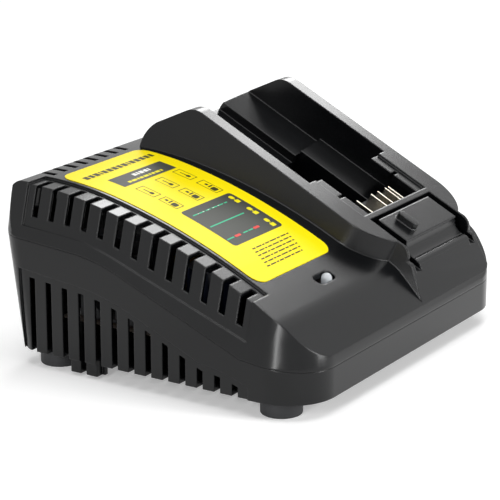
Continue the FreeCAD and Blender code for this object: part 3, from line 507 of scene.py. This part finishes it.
# Transformer. A ferrite core in two halves round a bobbin wound with copper and wrapped
# in yellow tape.
def banded(name, code, groove, pitch_mm, rough, metallic=0.0, axis="Z"):
    """A wound or ribbed skin: fine turns along one axis."""
    material, tree, place = new_material(name)
    turns = add(tree, "ShaderNodeTexWave", {"wave_type": "BANDS", "bands_direction": axis},
                {"Scale": 0.314 / (pitch_mm * MM) / 2.0, "Distortion": 0.4}, {"Vector": place})
    mix = add(tree, "ShaderNodeMix", {"data_type": "RGBA"}, {"A": linear(groove), "B": linear(code)},
              {"Factor": turns.outputs["Fac"]})
    bump = add(tree, "ShaderNodeBump", inputs={"Strength": 0.5, "Distance": 0.15 * MM},
               links={"Height": turns.outputs["Fac"]})
    shader = add(tree, "ShaderNodeBsdfPrincipled", inputs={"Roughness": rough, "Metallic": metallic},
                 links={"Base Color": mix.outputs["Result"], "Normal": bump.outputs["Normal"]})
    finish_material(tree, shader)
    return material


ferrite = moulded_plastic("grey_ferrite", "#26272a", "#303136", 0.5, 0.2, 0.03)
winding_tape = banded("yellow_winding_tape", "#d8ac1e", "#a77d10", 1.2, 0.45)
eased_copy("transformer_core", "ferrite_core", ferrite, 0.5)
eased_copy("transformer_winding", "taped_winding", winding_tape, 0.6)


# Capacitors. Aluminium cans in a shrunk dark sleeve, the bare top scored with a cross
# that vents it.
def two_tone(piece, second, level_mm):
    """Give the faces that look up at a level the second material."""
    piece.data.materials.append(second)
    for face in piece.data.polygons:
        if face.normal.z > 0.9 and face.center.z > level_mm * MM:
            face.material_index = 1


sleeve = moulded_plastic("blue_black_sleeve", "#0d1220", "#121829", 0.28, 0.6, 0.02)
can_metal = worked_metal("bare_aluminium", "#c9cbce", 0.32, (200.0, 200.0, 200.0))
for node, name, top, wide in (("bulk_capacitor", "bulk_can", 53.6, 12.0),
                              ("output_capacitor_1", "output_can_1", 43.6, 5.0),
                              ("output_capacitor_2", "output_can_2", 43.6, 5.0)):
    can = eased_copy(node, name, sleeve, 0.8, segments=3)
    two_tone(can, can_metal, top - 0.5)
    with_cross(can, island_centres(can), top, 0.25, wide)


# Line filter. A choke wound with enamelled copper and a box film capacitor beside it,
# with the fuse in its ceramic case.
enamelled_copper = banded("enamelled_copper", "#b5622a", "#5e2c12", 1.0, 0.3, 0.7)
film_box = moulded_plastic("ochre_film_box", "#b8972c", "#c3a436", 0.4, 0.5, 0.03)
ceramic = moulded_plastic("pale_ceramic", "#c9c2b2", "#d4cebf", 0.55, 0.2, 0.03)
eased_copy("line_choke", "wound_choke", enamelled_copper, 0.9, segments=3)
eased_copy("line_filter_capacitor", "film_capacitor", film_box, 0.8, segments=3)
eased_copy("fuse", "ceramic_fuse", ceramic, 0.5)


# Power parts. Black moulded epoxy packages on tinned legs, standing flat against plates
# of extruded aluminium.
epoxy_mould = moulded_plastic("black_epoxy_package", "#151517", "#1c1c1f", 0.5, 0.15, 0.03)
extruded = worked_metal("extruded_aluminium", "#b9bcc0", 0.36, (40.0, 600.0, 600.0))
tinned = worked_metal("tinned_copper", "#cfcac0", 0.28)
for node, name in (("bridge_rectifier", "bridge_package"), ("switching_transistor", "switch_package"),
                   ("output_rectifier", "diode_package")):
    eased_copy(node, name, epoxy_mould, 0.4)
for node, name in (("primary_heat_sink", "primary_cooling_plate"),
                   ("secondary_heat_sink", "secondary_cooling_plate")):
    eased_copy(node, name, extruded, 0.3)
for node, name in (("switching_device_legs", "switch_legs"), ("output_device_legs", "diode_legs")):
    eased_copy(node, name, tinned, 0.1, segments=1)


# Inlet and lamp supports. A white nylon terminal for the mains leads, and a bent plastic
# bracket that lifts the lamp's board up to its hole.
white_nylon = moulded_plastic("natural_nylon", "#d5d3c8", "#dfddd3", 0.45, 0.3, 0.03)
eased_copy("mains_terminal", "inlet_terminal", white_nylon, 0.5)
eased_copy("led_board_bracket", "lamp_bracket", nylon, 0.4)


# Gland. A soft rubber bushing that lines the round opening in the rear wall.
eased_copy("cord_gland", "gland_bushing", rubber, 0.5, segments=3)


# Fan. A square frame and a seven-bladed rotor, both of dark glass-filled polyester; the
# rotor's hub turns on a pin that stands on the frame's spokes.
polyester = moulded_plastic("dark_polyester", "#191a1c", "#212225", 0.4, 0.3, 0.03)
eased_copy("fan_frame", "fan_housing", polyester, 0.4)
eased_copy("fan_rotor", "fan_wheel", polyester, 0.15, segments=1)


# Ground. A pale, plain bench top that keeps the object's shadow.
bpy.ops.mesh.primitive_plane_add(size=6.0, location=(0, 0, 0))
floor = bpy.context.object
floor.name = "bench_top"


def seen_directly(tree):
    """1 where the camera looks, straight or by a reflection or through glass, else 0."""
    ray = add(tree, "ShaderNodeLightPath")
    seen = add(tree, "ShaderNodeMath", {"operation": "ADD"},
               links={0: ray.outputs["Is Camera Ray"], 1: ray.outputs["Is Glossy Ray"]})
    passed = add(tree, "ShaderNodeMath", {"operation": "ADD", "use_clamp": True},
                 links={0: seen.outputs["Value"], 1: ray.outputs["Is Transmission Ray"]})
    return passed.outputs["Value"]


material, tree, place = new_material("pale_bench")
diffuse = add(tree, "ShaderNodeBsdfDiffuse", inputs={"Color": linear("#f4f4f4")})
lift = add(tree, "ShaderNodeMath", {"operation": "MULTIPLY"}, {1: 0.3}, {0: seen_directly(tree)})
glow = add(tree, "ShaderNodeEmission", inputs={"Color": linear("#ffffff")},
           links={"Strength": lift.outputs["Value"]})
both = add(tree, "ShaderNodeAddShader", links={0: diffuse.outputs["BSDF"], 1: glow.outputs["Emission"]})
add(tree, "ShaderNodeOutputMaterial", links={"Surface": both.outputs["Shader"]})
wear(floor, material)

# Light. Soft studio panels over a dim even surround, against plain white.
white = linear("#ffffff")
world = bpy.data.worlds.new("studio")
bpy.context.scene.world = world
world.use_nodes = True
sky = world.node_tree
sky.nodes.clear()
soft = add(sky, "ShaderNodeBackground", inputs={"Color": white, "Strength": 0.12})
bright = add(sky, "ShaderNodeBackground", inputs={"Color": white, "Strength": 1.0})
mixed = add(sky, "ShaderNodeMixShader", links={0: seen_directly(sky)})
sky.links.new(soft.outputs["Background"], mixed.inputs[1])
sky.links.new(bright.outputs["Background"], mixed.inputs[2])
add(sky, "ShaderNodeOutputWorld", links={"Surface": mixed.outputs["Shader"]})


def panel_light(name, place, target, size, watts):
    """A soft rectangular lamp aimed at a point."""
    lamp = bpy.data.lights.new(name, "AREA")
    lamp.shape = "RECTANGLE"
    lamp.size = size[0]
    lamp.size_y = size[1]
    lamp.energy = watts
    lamp_object = bpy.data.objects.new(name, lamp)
    bpy.context.scene.collection.objects.link(lamp_object)
    lamp_object.location = place
    lamp_object.rotation_euler = (Vector(target) - Vector(place)).to_track_quat("-Z", "Y").to_euler()


panel_light("top_softbox", (-0.1, -0.1, 1.2), (0, 0, 0.05), (0.9, 0.9), 7.5)
panel_light("rear_softbox", (1.0, 0.36, 0.65), (0, 0, 0.05), (0.5, 0.4), 5.5)
panel_light("left_softbox", (-1.0, -0.12, 0.4), (0, 0, 0.05), (0.14, 0.5), 4.0)
panel_light("front_softbox", (0.24, -1.0, 0.38), (0, 0, 0.05), (0.3, 0.5), 7.0)

view = bpy.context.scene.view_settings
view.view_transform = "Standard"
